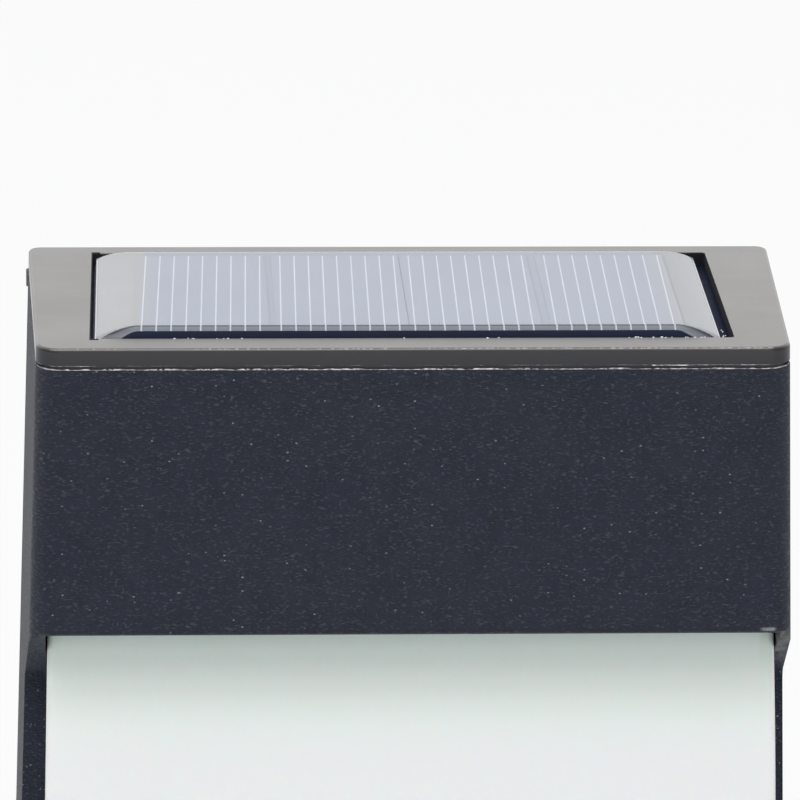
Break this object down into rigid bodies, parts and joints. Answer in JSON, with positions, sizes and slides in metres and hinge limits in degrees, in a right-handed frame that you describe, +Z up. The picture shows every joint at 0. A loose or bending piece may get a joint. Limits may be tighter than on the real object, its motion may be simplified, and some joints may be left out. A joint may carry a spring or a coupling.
{
  "type": "fence light",
  "caption": "Solar wall light with an overhanging head, a domed panel let into its lid, a bow-fronted frosted lens between coved cheeks, and keyholes in its back cover.",
  "frame": {"origin": "middle of the bottom edge's face, half way through the depth", "axes": "+Z up, -Y towards the viewer of the lens, +Y into the fence"},
  "size_m": [0.1052, 0.05, 0.1129],
  "materials": {
    "shell_plastic": "dark blue-grey moulding with a spark-eroded grain",
    "lid_plastic": "smoother satin moulding, warm dark grey",
    "seal_rubber": "plain soft rubber",
    "screw_steel": "zinc plated",
    "foam_tape": "white foam",
    "board_pale": "pale solder mask",
    "solar_cell": "slate blue silicon with fine silver lines",
    "clear_resin": "clear cast resin, glossy",
    "frosted_lens": "frosted, milky",
    "white_plastic": "white moulding",
    "board_white": "white solder mask",
    "led_white": "white cup with yellowish resin",
    "lead_white": "white insulation",
    "board_green": "green solder mask",
    "black_plastic": "plain moulding",
    "ferrite": "sintered ferrite",
    "button_plastic": "smooth dark grey",
    "battery_wrap": "shrink sleeve, bare",
    "nickel_plate": "nickel plated spring steel",
    "lead_red": "red insulation",
    "lead_black": "black insulation"
  },
  "bodies": {
    "case": {"top_lid": "lid_plastic", "housing": "shell_plastic", "back_cover": "shell_plastic", "lid_seal": "seal_rubber", "lens_seal": "seal_rubber", "back_seal": "seal_rubber", "button_seal": "seal_rubber", "lid_screws": "screw_steel", "chassis_screws": "screw_steel", "light_board_screws": "screw_steel", "control_board_screws": "screw_steel", "holder_screws": "screw_steel", "back_screws": "screw_steel", "panel_tape": "foam_tape", "panel_board": "board_pale", "solar_cells": "solar_cell", "panel_resin": "clear_resin", "diffuser_lens": "frosted_lens", "chassis": "white_plastic", "light_board": "board_white", "leds": "led_white", "light_leads": "lead_white", "control_board": "board_green", "driver_chip": "black_plastic", "choke": "ferrite", "switch_body": "black_plastic", "battery_holder": "black_plastic", "battery_cell": "battery_wrap", "battery_spring": "nickel_plate", "battery_contact": "nickel_plate", "panel_lead_red": "lead_red", "panel_lead_black": "lead_black", "battery_lead_red": "lead_red", "battery_lead_black": "lead_black"},
    "button": {"power_button": "button_plastic"}
  },
  "joints": [
    {"name": "button_press", "type": "slide", "parent": "case", "child": "button", "axis": [0, -1, 0], "range_m": [0, 0.002], "stiffness_N_per_m": 400}
  ]
}
